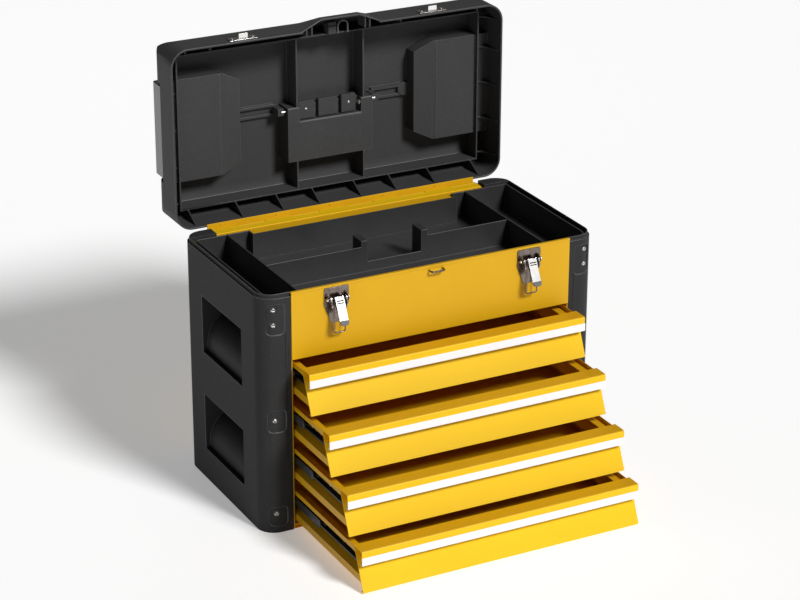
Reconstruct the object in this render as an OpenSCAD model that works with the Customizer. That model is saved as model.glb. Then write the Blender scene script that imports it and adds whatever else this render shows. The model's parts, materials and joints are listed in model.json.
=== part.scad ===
// Portable tool box: a steel drawer cabinet between two moulded end panels,
// with a hinged plastic lid, a lift-out tote tray and four drawers on
// telescopic runners. X runs to the right, -Y to the front, +Z up, in mm.
// The origin is the centre of the underside.

/* [Case] */
// Width over the end panels
case_w = 495; // [470:5:540]
// Depth of the case
case_d = 253; // [245:1:280]
// Height of the case without its lid
case_h = 337.6; // [334:0.2:350]
// Radius of the case's upright corners
case_corner_r = 25; // [15:1:30]
// Thickness of the sheet steel
sheet = 1.2; // [0.8:0.1:1.4]
// Half of the width between the end panels
bay_half_w = 205.4; // [195:0.1:210]

/* [End panels] */
// Thickness of the moulded end panels
panel_wall = 3; // [2:0.1:3.2]
// Height of the stepped collar at the top
collar_h = 5.3; // [4:0.1:8]
// How far the collar steps in
collar_inset = 2.5; // [1:0.1:3]
// Thickness of the collar
collar_wall = 1.7; // [1.2:0.1:1.7]
// Height of the shelf that the tote tray stands on
shelf_z = 295.5; // [290:0.5:300]
// Depth of the closed top of the rear corners
rear_cap_d = 22.5; // [15:0.5:24]

/* [Grip pockets] */
// Length of a grip pocket
pocket_len = 126; // [100:1:140]
// Height of a grip pocket
pocket_h = 81; // [70:1:90]
// Depth of a grip pocket behind the fingers
pocket_depth = 36; // [30:0.5:37]
// Depth of the sill at the foot of a pocket
pocket_sill = 7; // [5:0.5:10]
// Radius of the rounded ramp inside a pocket
pocket_ramp_r = 38; // [30:1:45]
// Height at which the ramp begins to turn
pocket_ramp_z = 13; // [8:1:16]
// Underside of the lower pocket
pocket_low_z = 46; // [40:1:50]
// Underside of the upper pocket
pocket_high_z = 190; // [180:1:195]

/* [Front panel] */
// Lower edge of the fixed front panel
front_panel_z = 244; // [243.5:0.1:246]
// Height of the rolled band along its top
front_roll_h = 3.1; // [2:0.1:5]

/* [Drawers] */
// Half of the width of a drawer front
drawer_half_w = 203.5; // [202.5:0.1:204]
// Half of the width of a drawer box over its hems
box_half_w = 202; // [200:0.5:202.5]
// Half of the width between the recesses for the runners
recess_half_w = 189.5; // [185:0.5:190]
// Thickness of a drawer's sheet steel
drawer_sheet = 1; // [0.6:0.1:1.2]
// Height of the top edge of the first drawer's grip strip
strip_top_z = 232.94; // [231:0.1:233]
// Distance from one drawer to the next
drawer_pitch = 61.15; // [60:0.05:61.4]
// Height of the grip strip
strip_h = 9.75; // [8:0.25:12]
// Height of the rolled ledge above the grip strip
ledge_rise = 9.13; // [7:0.1:10]
// Reach of the slanted front panel below the top of the strip
apron_drop = 47.65; // [44:0.1:48]
// How far the foot of the slanted panel stands in front of the strip
apron_lead = 2.7; // [0:0.1:4]
// Sideways run of the slanted panel for each millimetre down
apron_slope = 0.45; // [0.3:0.01:0.5]
// Length of a drawer behind its grip strip
drawer_len = 232; // [210:1:240]
// Depth of a drawer box below the ledge
box_drop = 46.5; // [42:0.5:48]
// How far the first drawer stands open
drawer_1_open = 49.2; // [0:0.1:190]
// How far the second drawer stands open
drawer_2_open = 105.2; // [0:0.1:190]
// How far the third drawer stands open
drawer_3_open = 155.5; // [0:0.1:190]
// How far the fourth drawer stands open
drawer_4_open = 194.6; // [0:0.1:190]

/* [Runners] */
// Height of a runner's lipped channel
runner_h = 17.5; // [16:0.25:18]
// Thickness of a runner's steel
runner_t = 1.2; // [0.8:0.1:1.3]
// Length of a runner member
runner_len = 215; // [200:1:218]
// Height of the runner's middle below the drawer's ledge
runner_drop = 19; // [18.5:0.1:19.4]
// Distance from the grip strip to the front of the drawer's runner
runner_setback = 22; // [20:0.5:30]
// Radius of a ball in a runner
ball_r = 1.2; // [0.9:0.05:1.3]

/* [Tote tray] */
// Thickness of the tray's moulded walls
tray_wall = 2; // [1.6:0.1:2.4]
// Half of the width inside the tray
tray_half_w = 236; // [232:0.5:237]
// Inside face of the tray's front wall
tray_front_y = -120; // [-121:0.5:-115]
// Inside face of the back wall at the two ends of the tray
tray_end_back_y = 99; // [96:0.5:99.5]
// Inside face of the back wall between the two ends
tray_mid_back_y = 85; // [82:0.5:92]
// Left end of the shallower middle stretch
tray_step_left_x = -161; // [-175:1:-120]
// Right end of the shallower middle stretch
tray_step_right_x = 151; // [120:1:165]
// Inside radius of the tray's front corners
tray_corner_r = 16; // [14:1:20]
// Top edge of the tray
tray_top_z = 335; // [330:0.5:336]
// Left partition
tray_left_wall_x = -192; // [-200:1:-185]
// Right partition
tray_right_wall_x = 171; // [168:1:180]
// Lengthwise partition
tray_long_wall_y = -21; // [-30:1:-15]
// Top of the grip posts
post_top_z = 342; // [339:0.5:345]

/* [Lid] */
// Angle by which the lid stands open
lid_open = 90; // [0:1:90]
// Half of the width of the lid
lid_half_w = 249.5; // [248:0.5:252]
// Height of the lid above its rim
lid_h = 68.5; // [66:0.5:75]
// Thickness of the lid's moulded wall
lid_wall = 2.5; // [2:0.1:3]
// Gap between the case and the closed lid's rim
lid_gap = 0.4; // [0.3:0.1:0.8]
// Radius of the lid's front and rear top edges
lid_long_edge_r = 32; // [25:1:35]
// Radius of the lid's two end top edges
lid_end_edge_r = 25; // [20:1:30]
// Height of the axis of the lid's hinge
hinge_z = 330.5; // [330:0.1:331]
// Distance of the hinge's axis behind the case
hinge_back = 4; // [3.5:0.1:5]
// Radius of the hinge's knuckles
knuckle_r = 2.5; // [2.3:0.1:2.8]
// Length of one knuckle
knuckle_len = 41; // [30:1:50]

/* [Organizers in the lid] */
// Distance from the middle to an organizer's inner wall
organizer_x = 133; // [130:1:140]
// Front of the organizers
organizer_front_y = -73.5; // [-80:0.5:-70]
// Rear of the organizers
organizer_back_y = 71; // [68:0.5:76]
// Depth of the organizers below the lid's top
organizer_d = 30.5; // [28:0.5:32]
// Width of an organizer's cut corners
organizer_cut = 27.4; // [15:0.2:30]
// Thickness of the organizers' covers
cover_wall = 2.5; // [2:0.1:3]

/* [Carrying handle] */
// Half of the width of the handle's housing
housing_half_w = 64.7; // [62:0.1:68]
// Front of the handle's housing
housing_front_y = -8.5; // [-9:0.5:-8]
// Rear of the handle's housing
housing_back_y = 69.3; // [66:0.1:75]
// Depth of the housing below the lid's top
housing_d = 31.5; // [30:0.5:32]
// Radius of the handle's pins
handle_pin_r = 2; // [1.6:0.1:2.2]
// Thickness of the handle's arms
arm_t = 10; // [8:0.5:11]

/* [Latches] */
// Distance from the middle of the case to a latch
latch_x = 142; // [120:1:150]
// Width of a latch's base plate
latch_plate_w = 35; // [33:1:38]
// Width of a latch's lever
latch_lever_w = 12.5; // [11:0.5:13]
// Length of a latch's lever from its pin to its tip
latch_lever_len = 36; // [32:1:40]
// Angle at which the released lever hangs off the case
latch_lever_angle = 26.6; // [20:0.1:35]
// Length of a latch's wire loop
latch_loop_len = 37; // [34:0.5:38]
// Radius of the loop's wire
latch_wire_r = 1; // [0.8:0.1:1.1]

/* [Hidden] */

$fn = 48;
plastic = [0.15, 0.15, 0.155];
dark_plastic = [0.11, 0.11, 0.115];
cover_grey = [0.62, 0.62, 0.62];
yellow = [0.93, 0.70, 0.10];
steel = [0.72, 0.72, 0.74];
dark_steel = [0.14, 0.15, 0.15];
white_trim = [0.95, 0.95, 0.95];

eps = 0.01;
bore_gap = 0.06;       // radial gap between a pin and the bore that turns on it
slide_gap = 0.3;       // gap between flat faces that pass each other
left = -1;
right = 1;

// How much wider, deeper and taller this case is than the usual one. What
// stands at a stated place keeps its distance from the walls and the top.
wider = (case_w - 495) / 2;
deeper = (case_d - 253) / 2;
taller = case_h - 337.6;
bay_x = bay_half_w + wider;
drawer_x = drawer_half_w + wider;
box_x = box_half_w + wider;
recess_x = recess_half_w + wider;
tray_x = tray_half_w + wider;
step_left_x = tray_step_left_x - wider;
step_right_x = tray_step_right_x + wider;
left_wall_x = tray_left_wall_x - wider;
right_wall_x = tray_right_wall_x + wider;
lid_x = lid_half_w + wider;
cup_x = organizer_x + wider;
tray_fore_y = tray_front_y - deeper;
tray_aft_y = tray_end_back_y + deeper;
tray_mid_y = tray_mid_back_y + deeper;
cup_front_y = organizer_front_y - deeper;
cup_back_y = organizer_back_y + deeper;
box_len = drawer_len + 2 * deeper;
channel_len = runner_len + 2 * deeper;
shelf_top = shelf_z + taller;
tray_rim_z = tray_top_z + taller;
post_tip_z = post_top_z + taller;
pivot_z = hinge_z + taller;
panel_foot_z = front_panel_z + taller;
high_pocket_z = pocket_high_z + taller;
strip_1_z = strip_top_z + taller;
pitch = drawer_pitch + taller / 4;
apron_h = apron_drop + taller / 4;
box_h = box_drop + taller / 4;

half_w = case_w / 2;
half_d = case_d / 2;
collar_z = case_h - collar_h;
wall_in_x = bay_x - sheet;          // inner face of the steel side walls
front_face_y = -half_d - sheet;          // face of the fixed front panel
front_reach = 8;                         // depth of the front panel's lower return
floor_z = panel_foot_z + sheet;         // underside of the compartment's floor
shelf_t = 3;
strip_closed_y = -half_d - 0.5;          // grip strips of the closed drawers
drawer_open = [drawer_1_open, drawer_2_open, drawer_3_open, drawer_4_open];

// ---------------------------------------------------------------- helpers

// An outline in Y and Z, extruded along X about the middle
module along_x(length) {
    rotate([90, 0, 90]) linear_extrude(length, center = true) children();
}

// An outline in X and Z, extruded along Y about the middle
module along_y(length) {
    rotate([90, 0, 0]) linear_extrude(length, center = true) children();
}

// A rectangle with true round corners
module round_rect(w, d, r) {
    square([w - 2 * r, d], center = true);
    square([w, d - 2 * r], center = true);
    for (x = [-1, 1], y = [-1, 1])
        translate([x * (w / 2 - r), y * (d / 2 - r)]) circle(r);
}

// A block given by its two corners
module block(low, high) {
    translate(low) cube(high - low);
}

// The same piece on the left or the right
module on_side(side) {
    if (side < 0) mirror([1, 0, 0]) children();
    else children();
}

// A lipped channel in X and Z: web at x = 0, mouth towards +X
module lipped_channel(depth, lip) {
    difference() {
        translate([0, -runner_h / 2]) square([depth, runner_h]);
        translate([runner_t, -runner_h / 2 + runner_t])
            square([depth - 2 * runner_t, runner_h - 2 * runner_t]);
        translate([runner_t, -runner_h / 2 + runner_t + lip])
            square([depth, runner_h - 2 * (runner_t + lip)]);
    }
}

// ---------------------------------------------------------- case: end panels

module case_outline(inset) {
    round_rect(case_w - 2 * inset, case_d - 2 * inset, case_corner_r - inset);
}

// Section of a grip pocket: depth to the right, height up. A positive grow
// gives the moulded wall round the pocket.
module pocket_section(grow) {
    difference() {
        translate([0, -grow]) square([pocket_depth + grow, pocket_h + 2 * grow]);
        translate([pocket_sill + grow, -grow - 1])
            square([pocket_depth, pocket_ramp_z + grow + 1]);
        translate([pocket_sill + pocket_ramp_r, pocket_ramp_z])
            circle(pocket_ramp_r - grow, $fn = 96);
    }
}

module grip_pocket(z, grow) {
    translate([half_w, 0, z])
        mirror([1, 0, 0])
            translate([-1 + eps, 0, 0]) {
                translate([1, 0, 0]) along_y(pocket_len + 2 * grow) pocket_section(grow);
                if (grow == 0)
                    along_y(pocket_len) square([1.5, pocket_h]);
            }
}

// Shallow seats on the wrapped corners, each with its screws
seat_low_x = half_w - 33.5;
seat_high_x = half_w - 9.5;
seat_depth = 1.2;
seat_corner_r = 6;
seats = [[case_h - 55.6, case_h - 13.6], [145, 176], [10, 37]];
screw_x = half_w - 18;
screw_rows = [case_h - 20.6, case_h - 41.6, 162, 28];
screw_head_r = 3;
screw_land_t = 2.5;
// Depth of the round corner's face at the screws
screw_face_y = half_d - case_corner_r
    + sqrt(pow(case_corner_r - seat_depth, 2) - pow(screw_x - half_w + case_corner_r, 2));

module screw_seats() {
    for (seat = seats)
        intersection() {
            translate([0, 0, seat[0]])
                linear_extrude(seat[1] - seat[0])
                    difference() {
                        case_outline(-1);
                        case_outline(seat_depth);
                    }
            translate([(seat_low_x + seat_high_x) / 2, -half_d, (seat[0] + seat[1]) / 2])
                along_y(2 * case_corner_r)
                    round_rect(seat_high_x - seat_low_x, seat[1] - seat[0], seat_corner_r);
        }
}

// Round spaces in line with the screws, outwards from the faces of their heads
module at_screws(r, low, high) {
    for (z = screw_rows)
        translate([screw_x, -screw_face_y - low, z])
            rotate([90, 0, 0]) cylinder(r = r, h = high - low);
}

module end_panel() {
    cup_wall = panel_wall - 0.5;
    intersection() {
        block([bay_x, -case_d, -1], [case_w, case_d, case_h + 1]);
        difference() {
            union() {
                difference() {
                    union() {
                        linear_extrude(collar_z) case_outline(0);
                        linear_extrude(case_h) case_outline(collar_inset);
                    }
                    screw_seats();
                    // the closed hollow below the shelf
                    translate([0, 0, panel_wall])
                        linear_extrude(shelf_top - shelf_t - panel_wall) case_outline(panel_wall);
                    // the space that the tray stands in
                    difference() {
                        union() {
                            translate([0, 0, shelf_top])
                                linear_extrude(collar_z - shelf_top - panel_wall)
                                    case_outline(panel_wall);
                            translate([0, 0, shelf_top])
                                linear_extrude(case_h) case_outline(collar_inset + collar_wall);
                        }
                        block([0, half_d - rear_cap_d, collar_z], [case_w, case_d, case_h + 1]);
                    }
                }
                intersection() {
                    linear_extrude(shelf_top) case_outline(eps);
                    for (z = [pocket_low_z, high_pocket_z]) grip_pocket(z, cup_wall);
                }
                // a flat land under each screw's head
                at_screws(screw_head_r + 0.8, -screw_land_t, 0);
            }
            for (z = [pocket_low_z, high_pocket_z]) grip_pocket(z, 0);
            at_screws(screw_head_r + 0.4, 0, screw_land_t);
        }
    }
}

module side_panel_left() color(plastic) on_side(left) end_panel();
module side_panel_right() color(plastic) on_side(right) end_panel();

module pan_screw(r, h) {
    rotate_extrude() polygon([[0, 0], [r, 0], [r, h * 0.45], [r * 0.72, h], [0, h]]);
}

module case_screws() {
    color(steel)
        for (x = [-screw_x, screw_x], z = screw_rows)
            translate([x, -screw_face_y, z]) rotate([90, 0, 0]) pan_screw(screw_head_r, 1.6);
}

// -------------------------------------------------------- case: steel cabinet

module front_panel() {
    color(yellow) {
        along_x(2 * wall_in_x)
            translate([front_face_y, panel_foot_z]) square([front_reach, sheet]);
        along_x(2 * bay_x) {
            translate([front_face_y, panel_foot_z]) square([sheet, case_h - panel_foot_z]);
            // the rolled band along the top
            translate([front_face_y - 0.4, case_h - front_roll_h])
                square([0.4 + eps, front_roll_h]);
            translate([front_face_y, case_h - sheet]) square([4, sheet]);
            translate([front_face_y + 4 - sheet, case_h - front_roll_h])
                square([sheet, front_roll_h]);
        }
    }
}

// The hinge's lower leaf lies on the ledge of the back panel
leaf_t = sheet;
leaf_z = pivot_z + knuckle_r - leaf_t;   // underside of the lower leaf
ledge_z = leaf_z - sheet;                // underside of the back panel's ledge
ledge_end_y = tray_aft_y + tray_wall + 1;
ledge_mid_y = tray_mid_y + tray_wall + 1;
ledge_left_x = step_left_x + tray_wall + 1;
ledge_right_x = step_right_x - tray_wall - 1;

module back_panel() {
    color(yellow) {
        block([-bay_x, half_d - sheet, 0], [bay_x, half_d, leaf_z]);
        block([-bay_x, half_d - front_reach, 0],
              [bay_x, half_d - sheet + eps, sheet]);
        // the ledge that the tray fits round, which runs into both end panels
        block([-bay_x, ledge_end_y, ledge_z], [bay_x, half_d - eps, leaf_z]);
        block([ledge_left_x, ledge_mid_y, ledge_z],
              [ledge_right_x, ledge_end_y + eps, leaf_z]);
        intersection() {
            translate([0, 0, ledge_z]) linear_extrude(sheet) case_outline(collar_inset + collar_wall + 0.1);
            block([-half_w, ledge_end_y, ledge_z - 1], [half_w, half_d, leaf_z + 1]);
        }
        // its short downturned edge
        block([ledge_left_x, ledge_mid_y, ledge_z - 5],
              [ledge_right_x, ledge_mid_y + sheet, ledge_z + eps]);
    }
}

module base_pan() {
    fold_y = -half_d + 4.5;
    color(yellow) {
        block([-bay_x, -half_d + 1.5, 0], [bay_x, half_d - front_reach, sheet]);
        // stiffening folds along the front and across the middle
        block([-wall_in_x + 1, fold_y, 0], [wall_in_x - 1, fold_y + sheet, 5]);
        for (y = [-45, 45])
            difference() {
                block([-wall_in_x + 8, y - 8, sheet - eps], [wall_in_x - 8, y + 8, 4]);
                block([-wall_in_x + 8 - 1, y - 8 + sheet, -1],
                      [wall_in_x - 8 + 1, y + 8 - sheet, 4 - sheet]);
            }
    }
}

module steel_side() {
    block([wall_in_x, -half_d + eps, sheet], [bay_x, half_d - sheet, shelf_top - shelf_t]);
}

module inner_wall_left() color(yellow) on_side(left) steel_side();
module inner_wall_right() color(yellow) on_side(right) steel_side();

floor_edge_h = 12;
module compartment_floor() {
    color(yellow) {
        block([-wall_in_x, -half_d + 0.2, floor_z], [wall_in_x, half_d - sheet, floor_z + sheet]);
        // upturned edges welded to the side walls
        for (side = [left, right])
            on_side(side)
                block([wall_in_x - sheet, -half_d + 6, floor_z + sheet - eps],
                      [wall_in_x, half_d - sheet, floor_z + floor_edge_h]);
    }
}

// ------------------------------------------------------------------- runners

// Heights that belong to drawer n
function strip_z(n) = strip_1_z - (n - 1) * pitch;
function ledge_top(n) = strip_z(n) + ledge_rise;
function runner_z(n) = ledge_top(n) - runner_drop;

channel_d = 6.8;                                   // depth of each lipped channel
channel_lip = 1.1;                                 // height of its inturned lips
runner_front_y = strip_closed_y + runner_setback;  // drawer's member, closed
outer_front_y = runner_front_y - 2;                // cabinet's member
mid_front_y = runner_front_y + 5;                  // middle member, closed
mid_plate_x = recess_x + runner_t + 1.3;      // middle member's inner plate
mid_far_x = wall_in_x - runner_t - 1;              // outer face of its outer plate
mid_plate_h = runner_h - 2 * runner_t - 2 * ball_r - 1.9;
ball_rows = 3;
ball_pitch = 6;

module outer_runners(side) {
    color(dark_steel)
        for (n = [1 : 4])
            on_side(side)
                translate([wall_in_x, outer_front_y + (channel_len + 10) / 2, runner_z(n)])
                    mirror([1, 0, 0]) along_y(channel_len + 10) lipped_channel(channel_d, channel_lip);
}

module outer_runners_left() outer_runners(left);
module outer_runners_right() outer_runners(right);

// Two lipped channels, one on each side of the drawer, in the closed place
module drawer_channels(n) {
    color(dark_steel)
        for (side = [left, right])
            on_side(side)
                translate([recess_x, runner_front_y + channel_len / 2, runner_z(n)]) {
                    along_y(channel_len) lipped_channel(channel_d, channel_lip);
                    // the upright stop at the front
                    translate([0, -channel_len / 2 - 1, 0])
                        along_y(2) translate([0, -runner_h / 2]) square([channel_d, runner_h]);
                }
}

// An I-shaped member whose two plates run inside the two channels, with a
// row of balls along each edge at its front and rear
module mid_member(n) {
    plate_gap = mid_far_x - mid_plate_x;
    translate([mid_plate_x, mid_front_y, runner_z(n)]) {
        for (x = [0, plate_gap - runner_t])
            translate([x, 0, -mid_plate_h / 2]) cube([runner_t, channel_len - 8, mid_plate_h]);
        translate([runner_t - eps, 0, -runner_t / 2])
            cube([plate_gap - 2 * runner_t + 2 * eps, channel_len - 8, runner_t]);
        for (x = [runner_t / 2, plate_gap - runner_t / 2], z = [-1, 1], i = [0 : ball_rows - 1])
            translate([x, 4 + i * ball_pitch, z * (mid_plate_h / 2 + 0.4)]) sphere(ball_r, $fn = 20);
    }
}

module mid_runners(n) {
    color(steel) for (side = [left, right]) on_side(side) mid_member(n);
}

// ------------------------------------------------------------------- drawers

// A drawer or its middle members pulled out by a share of the opening
module pulled(n, share) {
    translate([0, -drawer_open[n - 1] * share, 0]) children();
}

recess_top = runner_drop - runner_h / 2 - 0.4;      // below the ledge
recess_foot = runner_drop + runner_h / 2 + 0.4;
slope_foot = recess_foot + 8.4;
box_top = 3;

// Half outline of the drawer's side and bottom, measured from the ledge. A
// positive skin moves it inwards by the sheet's thickness.
function box_half(skin) =
    let (corner = skin * tan((90 - atan2(slope_foot - recess_foot, box_x - recess_x)) / 2))
    [
        [box_x - skin, -box_top + (skin > 0 ? 1 : 0)],
        [box_x - skin, -recess_top + skin],
        [recess_x - skin, -recess_top + skin],
        [recess_x - skin, -recess_foot - corner],
        [box_x - skin, -slope_foot - corner],
        [box_x - skin, -box_h + skin]
    ];
function mirrored(points) =
    [for (i = [len(points) - 1 : -1 : 0]) [-points[i][0], points[i][1]]];

module box_outline(skin) {
    polygon(concat(box_half(skin), mirrored(box_half(skin))));
}

// Outline of the drawer's bent front, in Y and Z from the top of the grip
// strip. The slanted apron hangs behind the ledge, and the grip hangs in
// front of it, so fingers reach up between the two.
apron_top_y = -apron_lead + (apron_h + ledge_rise) * apron_slope;
apron_t = drawer_sheet * sqrt(1 + apron_slope * apron_slope);
grip_y = sheet;
nose_r = 3;

module apron_line(back) {
    // the region behind the apron's outer or inner face
    polygon([
        [-apron_lead + back, -apron_h],
        [apron_top_y + back, ledge_rise],
        [apron_top_y + back + 2 * case_d, ledge_rise],
        [apron_top_y + back + 2 * case_d, -apron_h]
    ]);
}

module apron_outline() {
    difference() {
        apron_line(0);
        apron_line(apron_t);
    }
}

// The ledge, its rounded nose and the grip with its hem
module grip_outline() {
    difference() {
        union() {
            translate([grip_y + nose_r, ledge_rise - drawer_sheet])
                square([apron_top_y - grip_y - nose_r + apron_t / 2, drawer_sheet]);
            translate([grip_y + nose_r, ledge_rise - nose_r]) circle(nose_r);
            translate([grip_y, -strip_h]) square([drawer_sheet, strip_h + ledge_rise - nose_r]);
        }
        translate([grip_y + nose_r, ledge_rise - nose_r]) circle(nose_r - drawer_sheet);
        translate([grip_y + drawer_sheet, -strip_h]) square([nose_r, strip_h + ledge_rise - nose_r]);
        translate([grip_y + nose_r, -strip_h])
            square([2 * nose_r, strip_h + ledge_rise - drawer_sheet]);
    }
    translate([grip_y, -strip_h]) square([4, drawer_sheet]);
}

module drawer_front(n) {
    color(yellow)
        translate([0, strip_closed_y, strip_z(n)]) {
            along_x(2 * drawer_x) apron_outline();
            along_x(2 * drawer_x) grip_outline();
            // the hem along the apron's foot
            along_x(2 * drawer_x)
                translate([apron_t / 2 - apron_lead, -apron_h]) square([5, drawer_sheet]);
        }
}

module drawer_box(n) {
    back_y = strip_closed_y + box_len;
    color(yellow)
        intersection() {
            union() {
                translate([0, strip_closed_y + box_len / 2, ledge_top(n)])
                    along_y(box_len)
                        difference() {
                            box_outline(0);
                            box_outline(drawer_sheet);
                        }
                translate([0, back_y - drawer_sheet / 2, ledge_top(n)])
                    along_y(drawer_sheet) box_outline(0);
            }
            translate([0, strip_closed_y, strip_z(n)]) along_x(3 * drawer_x) apron_line(apron_t);
        }
}

// The bright strip clips over the grip
trim_hem_t = 0.8;
trim_hem_d = 3.3;

module drawer_trim(n) {
    color(white_trim)
        translate([0, strip_closed_y, strip_z(n)])
            along_x(2 * drawer_x) {
                translate([0, -strip_h - trim_hem_t]) square([grip_y, strip_h + trim_hem_t]);
                translate([grip_y - eps, -strip_h - trim_hem_t]) square([trim_hem_d, trim_hem_t]);
            }
}

drawer_screw_back = [62, 152];       // behind the grip strip
drawer_screw_r = 2.8;

module drawer_screws(n) {
    color(steel)
        for (side = [left, right], back = drawer_screw_back)
            on_side(side)
                translate([recess_x + runner_t, strip_closed_y + back, runner_z(n)])
                    rotate([0, 90, 0]) pan_screw(drawer_screw_r, 0.8);
}

module drawer_1_box() pulled(1, 1) drawer_box(1);
module drawer_1_front() pulled(1, 1) drawer_front(1);
module drawer_1_trim() pulled(1, 1) drawer_trim(1);
module drawer_1_runners() pulled(1, 1) drawer_channels(1);
module drawer_1_screws() pulled(1, 1) drawer_screws(1);
module drawer_1_mid_runners() pulled(1, 0.5) mid_runners(1);

module drawer_2_box() pulled(2, 1) drawer_box(2);
module drawer_2_front() pulled(2, 1) drawer_front(2);
module drawer_2_trim() pulled(2, 1) drawer_trim(2);
module drawer_2_runners() pulled(2, 1) drawer_channels(2);
module drawer_2_screws() pulled(2, 1) drawer_screws(2);
module drawer_2_mid_runners() pulled(2, 0.5) mid_runners(2);

module drawer_3_box() pulled(3, 1) drawer_box(3);
module drawer_3_front() pulled(3, 1) drawer_front(3);
module drawer_3_trim() pulled(3, 1) drawer_trim(3);
module drawer_3_runners() pulled(3, 1) drawer_channels(3);
module drawer_3_screws() pulled(3, 1) drawer_screws(3);
module drawer_3_mid_runners() pulled(3, 0.5) mid_runners(3);

module drawer_4_box() pulled(4, 1) drawer_box(4);
module drawer_4_front() pulled(4, 1) drawer_front(4);
module drawer_4_trim() pulled(4, 1) drawer_trim(4);
module drawer_4_runners() pulled(4, 1) drawer_channels(4);
module drawer_4_screws() pulled(4, 1) drawer_screws(4);
module drawer_4_mid_runners() pulled(4, 0.5) mid_runners(4);

// ----------------------------------------------------------------- tote tray

tray_z = shelf_top + slide_gap;        // underside of the tray
tray_floor_z = tray_z + 2.2;
partition_t = 2;
post_w = 9.5;
post_d = 26;
post_x = [-47, 42.5];                // middles of the two grip posts
long_wall_top_z = tray_rim_z - 1.3;

// Plan of the tray, grown outwards by its wall
module tray_plan(grow) {
    side_x = tray_x + grow;
    front_y = tray_fore_y - grow;
    r = tray_corner_r + grow;
    translate([-side_x, front_y + r])
        square([2 * side_x, tray_mid_y + grow - front_y - r]);
    translate([-side_x + r, front_y]) square([2 * (side_x - r), 2 * r]);
    for (side = [-1, 1])
        translate([side * (side_x - r), front_y + r]) circle(r);
    // the two deeper ends
    for (span = [[-side_x, step_left_x + grow], [step_right_x - grow, side_x]])
        translate([span[0], 0]) square([span[1] - span[0], tray_aft_y + grow]);
}

module tote_tray() {
    color(dark_plastic) {
        difference() {
            translate([0, 0, tray_z]) linear_extrude(tray_rim_z - tray_z) tray_plan(tray_wall);
            translate([0, 0, tray_floor_z]) linear_extrude(tray_rim_z) tray_plan(0);
        }
        // partitions across the tray
        for (x = [left_wall_x, right_wall_x])
            block([x - partition_t / 2, tray_fore_y - eps, tray_floor_z - eps],
                  [x + partition_t / 2, tray_aft_y + eps, tray_rim_z]);
        // the lengthwise partition, with a dip between the two grip posts
        difference() {
            block([left_wall_x, tray_long_wall_y, tray_floor_z - eps],
                  [right_wall_x, tray_long_wall_y + partition_t, long_wall_top_z]);
            block([post_x[0], tray_long_wall_y - 1, tray_floor_z + 14],
                  [post_x[1], tray_long_wall_y + partition_t + 1, tray_rim_z]);
        }
        for (x = post_x)
            translate([x, tray_long_wall_y, 0])
                difference() {
                    block([-post_w / 2, 0, tray_floor_z - eps], [post_w / 2, post_d, post_tip_z]);
                    block([-post_w / 2 + 2, 2, tray_floor_z - 1],
                          [post_w / 2 - 2, post_d - 2, post_tip_z - 2]);
                }
    }
}

// --------------------------------------------------------------- lid's hinge

hinge_y = half_d + hinge_back;
hinge_pin_r = 1.2;
knuckle_count = 2 * floor(bay_x / knuckle_len);
hinge_half_w = knuckle_count * knuckle_len / 2;
rim_z = case_h + lid_gap;                // underside of the closed lid's rim

// Turns what is drawn in the closed place about the hinge's axis
module lid_pose() {
    translate([0, hinge_y, pivot_z])
        rotate([-lid_open, 0, 0])
            translate([0, -hinge_y, -pivot_z]) children();
}

module knuckles(first) {
    difference() {
        for (i = [first : 2 : knuckle_count - 1])
            translate([-hinge_half_w + i * knuckle_len + 0.2, hinge_y, pivot_z])
                rotate([0, 90, 0]) cylinder(r = knuckle_r, h = knuckle_len - 0.4);
        translate([-hinge_half_w - 1, hinge_y, pivot_z])
            rotate([0, 90, 0]) cylinder(r = hinge_pin_r + bore_gap, h = 2 * hinge_half_w + 2);
    }
}

// Strips of leaf that reach a knuckle's bore, one for each of its knuckles
module leaf_fingers(first, low, high) {
    difference() {
        for (i = [first : 2 : knuckle_count - 1])
            block([-hinge_half_w + i * knuckle_len + 0.2, low[0], low[1]],
                  [-hinge_half_w + (i + 1) * knuckle_len - 0.2, high[0], high[1]]);
        translate([-hinge_half_w - 1, hinge_y, pivot_z])
            rotate([0, 90, 0]) cylinder(r = knuckle_r - 0.3, h = 2 * hinge_half_w + 2);
    }
}

leaf_front_y = half_d - 15;              // the lower leaf's edge on the ledge
module hinge_lower_leaf() {
    color(yellow) {
        knuckles(0);
        leaf_fingers(0, [half_d, leaf_z], [hinge_y, leaf_z + leaf_t]);
        block([-hinge_half_w, leaf_front_y, leaf_z], [hinge_half_w, half_d + eps, leaf_z + leaf_t]);
    }
}

module hinge_pin() {
    color(steel)
        translate([-hinge_half_w + 0.2, hinge_y, pivot_z])
            rotate([0, 90, 0]) cylinder(r = hinge_pin_r, h = 2 * hinge_half_w - 0.4);
}

upper_leaf_front_y = half_d - 4;
module hinge_upper_leaf() {
    upright_y = hinge_y + knuckle_r - leaf_t;
    color(yellow)
        lid_pose() {
            knuckles(1);
            leaf_fingers(1, [upright_y, pivot_z], [upright_y + leaf_t, rim_z]);
            block([-hinge_half_w, upper_leaf_front_y, rim_z - leaf_t],
                  [hinge_half_w, upright_y + eps, rim_z]);
            block([-hinge_half_w, upright_y, rim_z - leaf_t - 1],
                  [hinge_half_w, upright_y + leaf_t, rim_z]);
        }
}

// ----------------------------------------------------------------------- lid

lid_top_z = rim_z + lid_h;
lid_ceiling_z = lid_top_z - lid_wall;
lid_corner_r = 25;

// A section with a flat foot and two round upper corners
module domed_section(w, foot, top, r) {
    translate([-w / 2, foot]) square([w, top - r - foot]);
    translate([-w / 2 + r, foot]) square([w - 2 * r, top - foot]);
    for (x = [-1, 1]) translate([x * (w / 2 - r), top - r]) circle(r, $fn = 96);
}

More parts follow.
